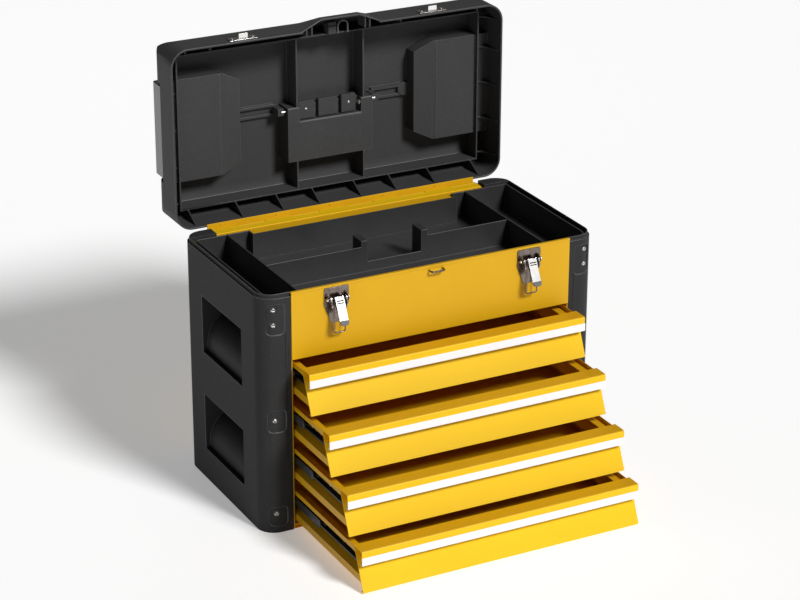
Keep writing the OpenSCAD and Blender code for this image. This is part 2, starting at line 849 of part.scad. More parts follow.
// The lid's outer form, drawn in by an inset
module lid_form(inset, foot) {
    intersection() {
        translate([0, 0, foot])
            linear_extrude(lid_h + 10)
                round_rect(2 * (lid_x - inset), case_d - 2 * inset, lid_corner_r - inset);
        along_y(case_d + 10)
            domed_section(2 * (lid_x - inset), foot, lid_top_z - inset, lid_end_edge_r - inset);
        along_x(case_w + 40)
            domed_section(case_d - 2 * inset, foot, lid_top_z - inset, lid_long_edge_r - inset);
    }
}

// The organizers: cups under the lid's top, open at the top and at the end
crease_x = cup_x + 31.8;
crease_bead = 0.8;
bevel_rise = 6;
organizer_floor_z = lid_top_z - organizer_d;      // outer face of the cup's floor

module organizer_plan(skin) {
    polygon([
        [case_w, cup_front_y + skin],
        [cup_x + organizer_cut, cup_front_y + skin],
        [cup_x + skin, cup_front_y + organizer_cut / 2 + skin],
        [cup_x + skin, cup_back_y - organizer_cut / 2 - skin],
        [cup_x + organizer_cut, cup_back_y - skin],
        [case_w, cup_back_y - skin]
    ]);
}

module organizer_section(skin) {
    // the floor rises between the crease and the inner wall
    polygon([
        [case_w, organizer_floor_z + skin],
        [crease_x, organizer_floor_z + skin],
        [cup_x - 1, organizer_floor_z + bevel_rise + skin],
        [cup_x - 1, lid_top_z + 5],
        [case_w, lid_top_z + 5]
    ]);
}

module organizer_cup(skin) {
    intersection() {
        translate([0, 0, organizer_floor_z - 1]) linear_extrude(organizer_d + 3) organizer_plan(skin);
        along_y(case_d) organizer_section(skin);
    }
}

// A fine bead under the cup's floor where it bends
module crease_beads() {
    for (side = [left, right])
        on_side(side)
            block([crease_x - crease_bead, cup_front_y + 1, organizer_floor_z - crease_bead],
                  [crease_x + crease_bead, cup_back_y - 1, organizer_floor_z + 1]);
}

// Opening in the lid's top over the handle's housing
housing_wall = 2;
module housing_opening() {
    block([-housing_half_w + housing_wall, housing_front_y + housing_wall, lid_ceiling_z - 5],
          [housing_half_w - housing_wall, housing_back_y - housing_wall, lid_top_z + 5]);
}

rib_t = 2;
long_rib_x = 50.8;
frame_rib_x = lid_x - 20;
frame_rib_front_y = -half_d + 17.5;
frame_rib_back_y = half_d - 16;
frame_rib_low_z = rim_z + 32;

module frame_ribs() {
    difference() {
        block([-frame_rib_x, frame_rib_front_y, frame_rib_low_z],
              [frame_rib_x, frame_rib_back_y, lid_ceiling_z + eps]);
        block([-frame_rib_x + rib_t, frame_rib_front_y + rib_t, frame_rib_low_z - 1],
              [frame_rib_x - rib_t, frame_rib_back_y - rib_t, lid_ceiling_z + 1]);
    }
}

module long_ribs() {
    for (x = [-long_rib_x, long_rib_x]) {
        block([x - rib_t / 2, frame_rib_front_y, organizer_floor_z - 1],
              [x + rib_t / 2, housing_front_y - 0.2, lid_ceiling_z + eps]);
        block([x - rib_t / 2, housing_back_y + 0.2, organizer_floor_z - 1],
              [x + rib_t / 2, frame_rib_back_y - eps, lid_ceiling_z + eps]);
    }
}

rear_gusset_x = [32, 87, 148, lid_x - 31.5];
end_gusset_y = [-half_d + 27.5, -55, -3.5, 49.5, half_d - 25.5];
front_tab_x = [-lid_x + 22.5, -190.6, 92, lid_x - 38.5];
hood_rib_x = [-50.6, -43, 37, 44];

module gussets() {
    wall_y = half_d - lid_wall + eps;
    for (x = rear_gusset_x, side = [left, right])
        translate([side * x, 0, 0])
            along_x(rib_t)
                polygon([
                    [frame_rib_back_y - eps, lid_ceiling_z],
                    [frame_rib_back_y - eps, frame_rib_low_z],
                    [wall_y, rim_z + 4],
                    [wall_y, lid_ceiling_z]
                ]);
    for (y = end_gusset_y, side = [left, right])
        translate([0, y, 0])
            on_side(side)
                along_y(rib_t)
                    difference() {
                        translate([frame_rib_x - eps, rim_z + 8])
                            square([lid_x - lid_wall - frame_rib_x + 2 * eps,
                                    organizer_floor_z - rim_z - 8 + eps]);
                        translate([frame_rib_x, rim_z + 8])
                            scale([1, 1.7]) circle(lid_x - lid_wall - frame_rib_x - 1);
                    }
    for (x = front_tab_x)
        translate([x, 0, 0])
            along_x(rib_t)
                polygon([
                    [-wall_y, rim_z + 3],
                    [-wall_y, rim_z + 26],
                    [-wall_y + 5, rim_z + 22],
                    [-wall_y + 5, rim_z + 5]
                ]);
}

module hood_ribs() {
    for (x = hood_rib_x)
        block([x - rib_t / 2, -half_d - hood_d, rim_z + 3],
              [x + rib_t / 2, -half_d + lid_wall + 5, rim_z + 24]);
}

// Rails from the organizers to the handle's pins, and a round boss
rail_h = 5;
boss_x = cup_x - 7;
boss_r = 9.5;
boss_h = 6;
handle_pin_y = -2.5;
handle_pin_z = lid_top_z - 24.5;
module lid_rails() {
    for (side = [left, right])
        on_side(side)
            for (y = [handle_pin_y - 6, handle_pin_y + 7])
                block([housing_half_w + 10, y - 2, lid_ceiling_z - rail_h],
                      [cup_x + 1, y + 2, lid_ceiling_z + eps]);
    intersection() {
        translate([boss_x, handle_pin_y, lid_ceiling_z - boss_h])
            cylinder(r = boss_r, h = boss_h + eps);
        block([0, -case_d, 0], [cup_x + 1, case_d, lid_top_z]);
    }
    // bosses that the handle's pins end in
    for (side = [left, right])
        on_side(side)
            block([housing_half_w + 3, handle_pin_y - 5, handle_pin_z - 1],
                  [housing_half_w + 12, handle_pin_y + 5, lid_ceiling_z + eps]);
}

// The hood over the padlock staple
hood_half_w = 60;
hood_flat = [-30, 27];
hood_d = 14.5;
hood_h = 42;
hood_upright_h = 7;                      // of its face, before it slopes back
module hood_plan(skin) {
    polygon([
        [-hood_half_w + skin, -half_d + 5],
        [-hood_half_w + skin, -half_d],
        [hood_flat[0], -half_d - hood_d + skin],
        [hood_flat[1], -half_d - hood_d + skin],
        [hood_half_w - skin, -half_d],
        [hood_half_w - skin, -half_d + 5]
    ]);
}

module hood_section(skin) {
    polygon([
        [-half_d + 6, rim_z - (skin > 0 ? 1 : 0)],
        [-half_d - hood_d - 1, rim_z - (skin > 0 ? 1 : 0)],
        [-half_d - hood_d - 1, rim_z + hood_upright_h - skin],
        [-half_d + 3, rim_z + hood_h - skin],
        [-half_d + 6, rim_z + hood_h - skin]
    ]);
}

module hood(skin) {
    intersection() {
        translate([0, 0, rim_z - 1]) linear_extrude(hood_h + 2) hood_plan(skin);
        along_x(3 * hood_half_w) hood_section(skin);
    }
}

cover_hinge_r = 2.6;
cover_pin_r = 1;
cover_hinge_x = cup_x + lid_wall + cover_hinge_r + 0.6;
cover_hinge_z = lid_top_z - cover_hinge_r;

module cover_pin_bores(r) {
    for (side = [left, right])
        on_side(side)
            translate([cover_hinge_x, cup_back_y - organizer_cut / 2, cover_hinge_z])
                rotate([90, 0, 0])
                    cylinder(r = r, h = cup_back_y - cup_front_y - organizer_cut);
}

module lid_shell() {
    color(plastic)
        lid_pose()
            difference() {
                union() {
                    difference() {
                        union() {
                            lid_form(0, rim_z);
                            hood(0);
                        }
                        lid_form(lid_wall, rim_z - 1);
                        hood(lid_wall);
                        housing_opening();
                    }
                    intersection() {
                        hood(eps);
                        hood_ribs();
                    }
                    intersection() {
                        lid_form(eps, rim_z);
                        union() {
                            hood_ribs();
                            frame_ribs();
                            long_ribs();
                            gussets();
                            lid_rails();
                            crease_beads();
                            for (side = [left, right]) on_side(side) organizer_cup(0);
                        }
                    }
                }
                for (side = [left, right]) on_side(side) organizer_cup(lid_wall);
                cover_pin_bores(cover_pin_r + bore_gap / 2);
                // seats for the handle's pins
                translate([-housing_half_w - 8, handle_pin_y, handle_pin_z])
                    rotate([0, 90, 0])
                        cylinder(r = handle_pin_r + bore_gap / 2, h = 2 * housing_half_w + 16);
            }
}

// -------------------------------------------------------- handle and housing

notch_half_w = 47.2;
notch_back_y = 12;
notch_z = lid_top_z - 20.5;              // inside ceiling of the notch
housing_foot_z = lid_top_z - housing_d;  // outer face of the housing's floor
housing_screw_x = 33;

module housing_form(skin) {
    difference() {
        block([-housing_half_w + skin, housing_front_y + skin, housing_foot_z + skin],
              [housing_half_w - skin, housing_back_y - skin, lid_ceiling_z + (skin > 0 ? 1 : 0)]);
        block([-notch_half_w - skin, housing_front_y - 1, housing_foot_z - 1],
              [notch_half_w + skin, notch_back_y + skin, notch_z + skin]);
    }
}

module handle_housing() {
    color(plastic)
        lid_pose()
            difference() {
                union() {
                    difference() {
                        housing_form(0);
                        housing_form(housing_wall);
                    }
                    // blocks that stiffen the notch
                    for (span = [[-41, -19], [-12, 15], [23, 43]])
                        block([span[0], housing_front_y, notch_z - 3],
                              [span[1], housing_front_y + 14, notch_z + eps]);
                }
                // bores for the handle's pins
                translate([-housing_half_w - 1, handle_pin_y, handle_pin_z])
                    rotate([0, 90, 0])
                        cylinder(r = handle_pin_r + bore_gap / 2, h = 2 * housing_half_w + 2);
            }
}

module housing_screws() {
    color(steel)
        lid_pose()
            for (x = [-housing_screw_x, housing_screw_x])
                translate([x, 8.5, notch_z])
                    rotate([180, 0, 0]) pan_screw(2.4, 1.4);
}

pin_inner_x = housing_half_w - housing_wall - arm_t - 1;
module handle_pins() {
    color(steel)
        lid_pose()
            for (side = [left, right])
                on_side(side)
                    translate([pin_inner_x, handle_pin_y, handle_pin_z])
                        rotate([0, 90, 0])
                            cylinder(r = handle_pin_r, h = housing_half_w + 7 - pin_inner_x);
}

// A flat grip on two arms that turn on the pins. Each arm leaves its pin
// straight, so it clears the lid's edge when raised, and then cranks up.
grip_back_y = housing_back_y - housing_wall - 1.5;
grip_depth = 18;
grip_h = 20;
grip_rise = 8;
arm_half_h = 3.7;
arm_straight = 30;
arm_out_x = housing_half_w - housing_wall - 0.6;
module carry_handle() {
    reach = grip_back_y - handle_pin_y;
    grip_low = grip_rise - grip_h / 2;
    color(dark_plastic)
        lid_pose()
            translate([0, handle_pin_y, handle_pin_z])
                difference() {
                    union() {
                        for (side = [left, right])
                            on_side(side)
                                translate([arm_out_x - arm_t / 2, 0, 0])
                                    along_x(arm_t) {
                                        circle(arm_half_h);
                                        polygon([
                                            [0, -arm_half_h],
                                            [arm_straight, -arm_half_h],
                                            [reach - grip_depth + 4, grip_low],
                                            [reach - 8, grip_low],
                                            [reach - 8, grip_low + grip_h],
                                            [reach - grip_depth + 8, grip_low + grip_h],
                                            [arm_straight, arm_half_h],
                                            [0, arm_half_h]
                                        ]);
                                    }
                        translate([0, reach - grip_depth / 2, grip_rise])
                            along_x(2 * arm_out_x) round_rect(grip_depth, grip_h, 7);
                    }
                    translate([-housing_half_w, 0, 0])
                        rotate([0, 90, 0])
                            cylinder(r = handle_pin_r + bore_gap, h = 2 * housing_half_w);
                }
}

// ---------------------------------------------------------- organizer covers

cover_front_y = cup_front_y + 6;
cover_back_y = cup_back_y - 9;
barrel_front_y = cup_front_y + organizer_cut / 2 + lid_wall + 1;
barrel_back_y = cup_back_y - organizer_cut / 2 - lid_wall - 1;
cover_lip_w = 14;                        // width of the rim that turns down at the end
cover_lip_h = 8;
cover_round_r = 6;

// The cover's top and end, with a small round edge between them
module cover_form() {
    intersection() {
        block([cover_hinge_x, cover_front_y, organizer_floor_z + lid_wall + 0.4],
              [lid_x, cover_back_y, lid_top_z]);
        along_y(case_d) domed_section(2 * lid_x, rim_z, lid_top_z, cover_round_r);
        translate([0, 0, organizer_floor_z])
            linear_extrude(organizer_d + 1) organizer_plan(lid_wall + 0.5);
    }
}

// The space inside it
module cover_hollow() {
    intersection() {
        block([cover_hinge_x - 1, cover_front_y + cover_wall, organizer_floor_z - 5],
              [lid_x - cover_wall, cover_back_y - cover_wall, lid_top_z - cover_wall]);
        along_y(case_d)
            domed_section(2 * (lid_x - cover_wall), organizer_floor_z - 5,
                          lid_top_z - cover_wall, cover_round_r - cover_wall);
    }
    block([cover_hinge_x - 1, cover_front_y - 1, organizer_floor_z - 5],
          [lid_x - cover_lip_w, cover_back_y + 1, lid_top_z - cover_lip_h]);
}

// Beside the barrel the cover is cut back, so it clears the cup's corners
// as it swings
module cover_relief() {
    relief_x = cover_hinge_x + 2 * cover_hinge_r + 1;
    for (span = [[cover_front_y - 1, barrel_front_y], [barrel_back_y, cover_back_y + 1]])
        block([cover_hinge_x - 1, span[0], organizer_floor_z], [relief_x, span[1], lid_top_z + 1]);
}

module cover() {
    difference() {
        union() {
            difference() {
                cover_form();
                cover_hollow();
                cover_relief();
            }
            // hinge barrel along the inner edge
            translate([cover_hinge_x, barrel_back_y, cover_hinge_z])
                rotate([90, 0, 0])
                    cylinder(r = cover_hinge_r, h = barrel_back_y - barrel_front_y);
        }
        translate([cover_hinge_x, case_d, cover_hinge_z])
            rotate([90, 0, 0]) cylinder(r = cover_pin_r + bore_gap, h = 2 * case_d);
    }
}

module organizer_cover_left() color(cover_grey) lid_pose() on_side(left) cover();
module organizer_cover_right() color(cover_grey) lid_pose() on_side(right) cover();

module cover_pins() {
    color(steel) lid_pose() cover_pin_bores(cover_pin_r);
}

// ------------------------------------------------------------------- latches

plate_t = 1.5;
plate_top_z = case_h - front_roll_h;
plate_taper_z = case_h - 26.6;
plate_foot_z = case_h - 51.6;
plate_foot_w = 16;
ear_x = 13;
ear_t = 1.5;
latch_pivot_y = -half_d - 7.5;
latch_pivot_z = case_h - 17.6;
latch_pin_r = 1.3;
plate_face_y = front_face_y - plate_t;

module latch_base() {
    difference() {
        union() {
            translate([latch_x, front_face_y - plate_t / 2, 0])
                along_y(plate_t)
                    polygon([
                        [-latch_plate_w / 2, plate_top_z],
                        [-latch_plate_w / 2, plate_taper_z],
                        [-plate_foot_w / 2, plate_foot_z],
                        [plate_foot_w / 2, plate_foot_z],
                        [latch_plate_w / 2, plate_taper_z],
                        [latch_plate_w / 2, plate_top_z]
                    ]);
            for (side = [-1, 1])
                translate([latch_x + side * ear_x, 0, 0])
                    along_x(ear_t) {
                        translate([latch_pivot_y, latch_pivot_z]) circle(4);
                        translate([latch_pivot_y, latch_pivot_z - 4])
                            square([plate_face_y - latch_pivot_y + eps, 10]);
                    }
        }
        translate([latch_x - latch_plate_w, latch_pivot_y, latch_pivot_z])
            rotate([0, 90, 0]) cylinder(r = latch_pin_r + bore_gap / 2, h = 2 * latch_plate_w);
    }
}

module latch_plate_left() color(steel) on_side(left) latch_base();
module latch_plate_right() color(steel) on_side(right) latch_base();

// Short pins, one on each side, from an ear into the lever's root
root_half_w = ear_x - ear_t / 2 - 0.8;   // outside of the lever's root
module latch_pins() {
    color(steel)
        for (x = [-latch_x, latch_x], side = [-1, 1])
            translate([x, latch_pivot_y, latch_pivot_z])
                on_side(side)
                    translate([root_half_w - lever_t, 0, 0])
                        rotate([0, 90, 0])
                            cylinder(r = latch_pin_r, h = ear_x + ear_t - root_half_w + lever_t);
}

// The lever hangs from its pins, drawn straight down and then turned outwards.
// Its wide root lies behind the wire loop, and its blade in front of it.
lever_t = 1.2;
root_back_y = 3.8;
blade_y = -3.4;
loop_hole_y = 1;
loop_hole_z = -9;
blade_tip_r = 4;
blade_top = 1.5;
module lever_pose() {
    translate([latch_x, latch_pivot_y, latch_pivot_z])
        rotate([-latch_lever_angle, 0, 0]) children();
}

module lever() {
    lever_pose()
        difference() {
            union() {
                // blade with a rounded tip
                translate([0, blade_y, 0])
                    along_y(lever_t) {
                        translate([-latch_lever_w / 2, -latch_lever_len + blade_tip_r])
                            square([latch_lever_w, latch_lever_len - blade_tip_r + blade_top]);
                        translate([-latch_lever_w / 2 + blade_tip_r, -latch_lever_len])
                            square([latch_lever_w - 2 * blade_tip_r, blade_tip_r + eps]);
                        for (x = [-1, 1])
                            translate([x * (latch_lever_w / 2 - blade_tip_r),
                                       -latch_lever_len + blade_tip_r])
                                circle(blade_tip_r);
                    }
                for (side = [-1, 1]) {
                    // sides of the blade
                    translate([side * (latch_lever_w - lever_t) / 2, 0, 0])
                        along_x(lever_t)
                            polygon([[blade_y, 2], [blade_y, -20], [root_back_y - 0.6, -4],
                                     [root_back_y - 0.6, 2]]);
                    // sides of the root, which the pins and the loop turn in
                    translate([side * (root_half_w - lever_t / 2), 0, 0])
                        along_x(lever_t) {
                            circle(3.4);
                            translate([loop_hole_y, loop_hole_z]) circle(2.4);
                            polygon([[-2.6, 0], [loop_hole_y - 2.4, loop_hole_z],
                                     [loop_hole_y + 2.4, loop_hole_z], [root_back_y, -4],
                                     [root_back_y, 2], [0, 2]]);
                        }
                }
                // back of the root
                block([-root_half_w, root_back_y - lever_t, -4], [root_half_w, root_back_y, 2]);
            }
            translate([-2 * root_half_w, 0, 0])
                rotate([0, 90, 0]) cylinder(r = latch_pin_r + bore_gap, h = 4 * root_half_w);
            translate([-2 * root_half_w, loop_hole_y, loop_hole_z])
                rotate([0, 90, 0]) cylinder(r = latch_wire_r + bore_gap, h = 4 * root_half_w);
        }
}

module latch_lever_left() color(steel) on_side(left) lever();
module latch_lever_right() color(steel) on_side(right) lever();

// The wire loop hangs straight down from the lever's lower holes
loop_half_w = latch_lever_w / 2 + latch_wire_r + 0.9;
loop_bend_r = 3;
loop_y = latch_pivot_y + loop_hole_y * cos(latch_lever_angle)
    + loop_hole_z * sin(latch_lever_angle);
loop_z = latch_pivot_z + loop_hole_z * cos(latch_lever_angle)
    - loop_hole_y * sin(latch_lever_angle);

// A quarter bend of wire in X and Z, from below to the right
module wire_bend() {
    intersection() {
        rotate([90, 0, 0])
            rotate_extrude() translate([loop_bend_r, 0]) circle(latch_wire_r, $fn = 24);
        block([-2 * loop_bend_r, -loop_bend_r, -2 * loop_bend_r], [0, loop_bend_r, 0]);
    }
}

module loop() {
    translate([latch_x, loop_y, loop_z])
        for (side = [-1, 1])
            on_side(side) {
                // end that turns out into the root's hole
                translate([loop_half_w, 0, 0])
                    rotate([0, 90, 0]) cylinder(r = latch_wire_r, h = root_half_w - loop_half_w);
                translate([loop_half_w, 0, 0]) sphere(latch_wire_r, $fn = 24);
                translate([loop_half_w, 0, -latch_loop_len + loop_bend_r])
                    cylinder(r = latch_wire_r, h = latch_loop_len - loop_bend_r);
                translate([loop_half_w - loop_bend_r, 0, -latch_loop_len + loop_bend_r])
                    mirror([1, 0, 0]) wire_bend();
                translate([-eps, 0, -latch_loop_len])
                    rotate([0, 90, 0]) cylinder(r = latch_wire_r, h = loop_half_w - loop_bend_r + eps);
            }
}

module latch_loop_left() color(steel) on_side(left) loop();
module latch_loop_right() color(steel) on_side(right) loop();

// The catch on the lid: a plate on the front wall with a hook for the loop
catch_w = 40;
catch_h = 13;
hook_w = 13;
hook_reach = 7.2;
hook_lip = 6;
catch_low_z = rim_z + 4;
module catch_plate() {
    face_y = -half_d;
    lid_pose()
        translate([latch_x, 0, 0]) {
            difference() {
                block([-catch_w / 2, face_y - sheet, catch_low_z],
                      [catch_w / 2, face_y, catch_low_z + catch_h]);
                for (x = [-15, 15])
                    translate([x, face_y, catch_low_z + catch_h / 2])
                        rotate([90, 0, 0]) cylinder(r = 1.5, h = 10, center = true);
            }
            // hook that stands out and turns up, for the loop to sit in
            translate([0, 0, catch_low_z + 3])
                along_x(hook_w) {
                    translate([face_y - sheet - hook_reach, 0]) square([hook_reach + eps, sheet]);
                    translate([face_y - sheet - hook_reach, 0]) square([sheet, hook_lip]);
                }
        }
}

module catch_left() color(steel) on_side(left) catch_plate();
module catch_right() color(steel) on_side(right) catch_plate();

module lid_rivets() {
    color(steel)
        lid_pose() {
            for (side = [left, right], x = [-15, 15])
                translate([side * latch_x + x, -half_d - sheet, catch_low_z + catch_h / 2])
                    rotate([90, 0, 0]) pan_screw(2.6, 1.2);
            for (i = [0 : 4])
                translate([-hinge_half_w + (2 * i + 0.5) * knuckle_len, half_d - lid_wall / 2,
                           rim_z - leaf_t])
                    rotate([180, 0, 0]) pan_screw(1.6, 0.6);
        }
}

// The padlock staple: a wire bow that stands out of the front panel
staple_x = 2.4;
staple_z = case_h - 6.6;
staple_wire_r = 1.3;
staple_half_w = 9.8;
staple_reach = 8.5;
module padlock_staple() {
    bend_r = 4;
    color(steel)
        translate([staple_x, front_face_y, staple_z])
            for (side = [-1, 1])
                on_side(side) {
                    translate([staple_half_w, 0, 0])
                        rotate([90, 0, 0]) cylinder(r = staple_wire_r, h = staple_reach - bend_r);
                    translate([staple_half_w - bend_r, -staple_reach + bend_r, 0])
                        intersection() {
                            rotate_extrude() translate([bend_r, 0]) circle(staple_wire_r, $fn = 24);
                            block([0, -2 * bend_r, -bend_r], [2 * bend_r, 0, bend_r]);
                        }
                    translate([-eps, -staple_reach, 0])
                        rotate([0, 90, 0])
                            cylinder(r = staple_wire_r, h = staple_half_w - bend_r + eps);
                }
}

// --------------------------------------------------------------------- nodes

side_panel_left();
side_panel_right();
front_panel();
back_panel();
base_pan();
inner_wall_left();
inner_wall_right();
compartment_floor();
case_screws();
outer_runners_left();
outer_runners_right();
padlock_staple();
latch_plate_left();
latch_plate_right();
latch_pins();
hinge_lower_leaf();
hinge_pin();
lid_shell();
hinge_upper_leaf();
lid_rivets();
handle_housing();
housing_screws();
handle_pins();
catch_left();
catch_right();
cover_pins();
carry_handle();
organizer_cover_left();
organizer_cover_right();
latch_lever_left();
latch_lever_right();
latch_loop_left();
latch_loop_right();
tote_tray();
drawer_1_box();
drawer_1_front();
drawer_1_trim();
drawer_1_runners();
drawer_1_screws();
drawer_1_mid_runners();
drawer_2_box();
drawer_2_front();
drawer_2_trim();
drawer_2_runners();
drawer_2_screws();
drawer_2_mid_runners();
drawer_3_box();
drawer_3_front();
drawer_3_trim();
drawer_3_runners();
drawer_3_screws();
drawer_3_mid_runners();
drawer_4_box();
drawer_4_front();
drawer_4_trim();
drawer_4_runners();
drawer_4_screws();
drawer_4_mid_runners();
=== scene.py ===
import json
import math

import bmesh
import bpy
from mathutils import Matrix, Vector

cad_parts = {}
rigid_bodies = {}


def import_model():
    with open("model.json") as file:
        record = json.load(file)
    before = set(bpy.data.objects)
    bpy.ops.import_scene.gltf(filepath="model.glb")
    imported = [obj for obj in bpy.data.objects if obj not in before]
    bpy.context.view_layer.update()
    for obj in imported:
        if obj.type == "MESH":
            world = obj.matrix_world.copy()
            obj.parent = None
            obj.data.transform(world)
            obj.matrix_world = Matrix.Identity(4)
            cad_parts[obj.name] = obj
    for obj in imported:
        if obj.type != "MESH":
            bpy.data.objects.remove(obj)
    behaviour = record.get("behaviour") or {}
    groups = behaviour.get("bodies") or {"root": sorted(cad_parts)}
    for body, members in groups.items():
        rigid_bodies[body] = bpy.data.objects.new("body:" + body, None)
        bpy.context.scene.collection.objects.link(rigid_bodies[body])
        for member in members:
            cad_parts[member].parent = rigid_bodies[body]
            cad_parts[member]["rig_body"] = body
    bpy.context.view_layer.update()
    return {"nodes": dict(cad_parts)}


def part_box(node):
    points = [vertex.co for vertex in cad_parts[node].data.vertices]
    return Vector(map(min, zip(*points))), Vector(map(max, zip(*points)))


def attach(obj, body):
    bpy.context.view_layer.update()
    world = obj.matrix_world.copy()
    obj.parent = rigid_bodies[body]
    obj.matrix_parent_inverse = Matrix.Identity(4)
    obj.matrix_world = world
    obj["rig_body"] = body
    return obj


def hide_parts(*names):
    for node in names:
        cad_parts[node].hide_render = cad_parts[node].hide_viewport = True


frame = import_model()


# ------------------------------------------------------------- end panels
# Two black polypropylene mouldings close the ends of the case. Each wraps
# round the front and back corners, has two grip pockets and a stepped collar,
# and is screwed to the steel cabinet through shallow seats.
nodes = frame["nodes"]
MM = 0.001


class Field:
    """A value that varies over a surface, with Python's arithmetic for Math nodes."""

    def __init__(self, tree, socket):
        self.tree = tree
        self.socket = socket

    def node(self, kind, settings, sockets, output=0):
        made = self.tree.nodes.new(kind)
        for setting, value in settings.items():
            if setting == "stops":
                ramp = made.color_ramp
                while len(ramp.elements) < len(value):
                    ramp.elements.new(0.5)
                for element, (place, colour) in zip(ramp.elements, value):
                    element.position = place
                    element.color = colour
            else:
                setattr(made, setting, value)
        for key, value in sockets.items():
            if isinstance(value, Field):
                self.tree.links.new(value.socket, made.inputs[key])
            else:
                made.inputs[key].default_value = value
        return Field(self.tree, made.outputs[output])

    def math(self, operation, *values):
        return self.node("ShaderNodeMath", {"operation": operation}, dict(enumerate(values)))

    def __add__(self, other):
        return self.math("ADD", self, other)

    def __mul__(self, other):
        return self.math("MULTIPLY", self, other)

    __radd__ = __add__
    __rmul__ = __mul__

    def noise(self, scale, detail=3, roughness=0.5):
        """Noise read at this place, with about as many blotches to the metre as its scale."""
        return self.node(
            "ShaderNodeTexNoise",
            {},
            {"Vector": self, "Scale": scale, "Detail": detail, "Roughness": roughness},
        )

    def stretched(self, x, y, z):
        """The same place with its axes scaled, for a pattern drawn out one way."""
        return self.node("ShaderNodeMapping", {}, {"Vector": self, "Scale": (x, y, z)})

    def ramp(self, *stops):
        """Maps a value through stops of (place, grey)."""
        greys = [(place, (grey, grey, grey, 1)) for place, grey in stops]
        return self.node("ShaderNodeValToRGB", {"stops": greys}, {"Fac": self})

    def mix(self, low, high):
        """A colour between low and high by this value."""
        return self.node(
            "ShaderNodeMix",
            {"data_type": "RGBA", "clamp_factor": True},
            {0: self, 6: low, 7: high},
            output=2,
        )


def finish(name, roughness, metallic=0.0, specular=0.5):
    """A material, its shader and the place of the shaded point on the piece."""
    material = bpy.data.materials.new(name)
    material.use_nodes = True
    tree = material.node_tree
    shader = tree.nodes["Principled BSDF"]
    shader.inputs["Roughness"].default_value = roughness
    shader.inputs["Metallic"].default_value = metallic
    shader.inputs["Specular IOR Level"].default_value = specular
    place = Field(tree, tree.nodes.new("ShaderNodeTexCoord").outputs["Object"])
    return material, shader, place


def feed(shader, **fields):
    """Links fields to the shader's sockets, given with underscores for spaces."""
    for key, field in fields.items():
        field.tree.links.new(field.socket, shader.inputs[key.replace("_", " ")])


def bump(height, distance):
    """The normal of a surface that stands up by the distance, in metres, at full height."""
    return height.node("ShaderNodeBump", {}, {"Height": height, "Distance": distance})


def moulded_plastic(name, dark, light, grain, roughness, specular=0.5):
    """Moulded plastic with a fine spark-eroded grain, faint flow marks and dust."""
    material, shader, place = finish(name, roughness, specular=specular)
    pit_depth = 0.09 * MM
    pits = place.noise(grain, detail=2, roughness=0.6)
    flow = place.stretched(1, 1, 0.35).noise(9, detail=4, roughness=0.55)
    dust = place.noise(260, detail=3).ramp((0.45, 0), (0.8, 1))
    tone = flow * 0.6 + dust * 0.25 + pits * 0.15
    feed(
        shader,
        Base_Color=tone.ramp((0.25, 0), (0.75, 1)).mix((*dark, 1), (*light, 1)),
        Roughness=roughness - 0.07 + flow * 0.1 + pits * 0.06,
        Normal=bump(pits, pit_depth),
    )
    return material


case_plastic = moulded_plastic(
    "case_black_moulding", dark=(0.033, 0.033, 0.034), light=(0.044, 0.044, 0.045),
    grain=1900, roughness=0.46, specular=0.04,
)


def carved(mesh, cutter):
    """The mesh with the cutter's form taken out of it."""
    tool = bpy.data.meshes.new("cutter")
    cutter.to_mesh(tool)
    cutter.free()
    host = bpy.data.objects.new("host", mesh)
    blade = bpy.data.objects.new("blade", tool)
    for scrap in (host, blade):
        bpy.context.collection.objects.link(scrap)
    cut = host.modifiers.new("cut", "BOOLEAN")
    cut.operation = "DIFFERENCE"
    cut.solver = "EXACT"
    cut.use_self = True  # the two slots of a cross cut through each other
    cut.object = blade
    ready = host.evaluated_get(bpy.context.evaluated_depsgraph_get())
    result = bpy.data.meshes.new_from_object(ready)
    for scrap in (host, blade):
        bpy.data.objects.remove(scrap)
    return result


crease = math.radians(32)


def dressed(mesh, name, materials, body, width, highlight_edges=None):
    """A finished piece: its mesh with eased edges, its finishes and the body that carries it.
    The lighter finish, a painted highlight, goes on the eased edges alone."""
    if not mesh.materials:
        for material in materials:
            mesh.materials.append(material)
    if highlight_edges:
        mesh.materials.append(highlight_edges)
    piece = bpy.data.objects.new(name, mesh)
    bpy.context.collection.objects.link(piece)
    mesh.shade_smooth()
    mesh.set_sharp_from_angle(angle=crease)
    if width:
        ease = piece.modifiers.new("eased_edges", "BEVEL")
        ease.width = width
        ease.segments = 2
        ease.limit_method = "ANGLE"
        ease.angle_limit = crease
        ease.use_clamp_overlap = False
        ease.harden_normals = True
        ease.miter_outer = "MITER_ARC"
        if highlight_edges:
            ease.material = len(mesh.materials) - 1
    level = piece.modifiers.new("flat_faces_stay_flat", "WEIGHTED_NORMAL")
    level.mode = "FACE_AREA"
    level.weight = 90
    level.keep_sharp = True
    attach(piece, body)
    return piece


merge_gap = 0.004 * MM
least_corner = math.radians(35)


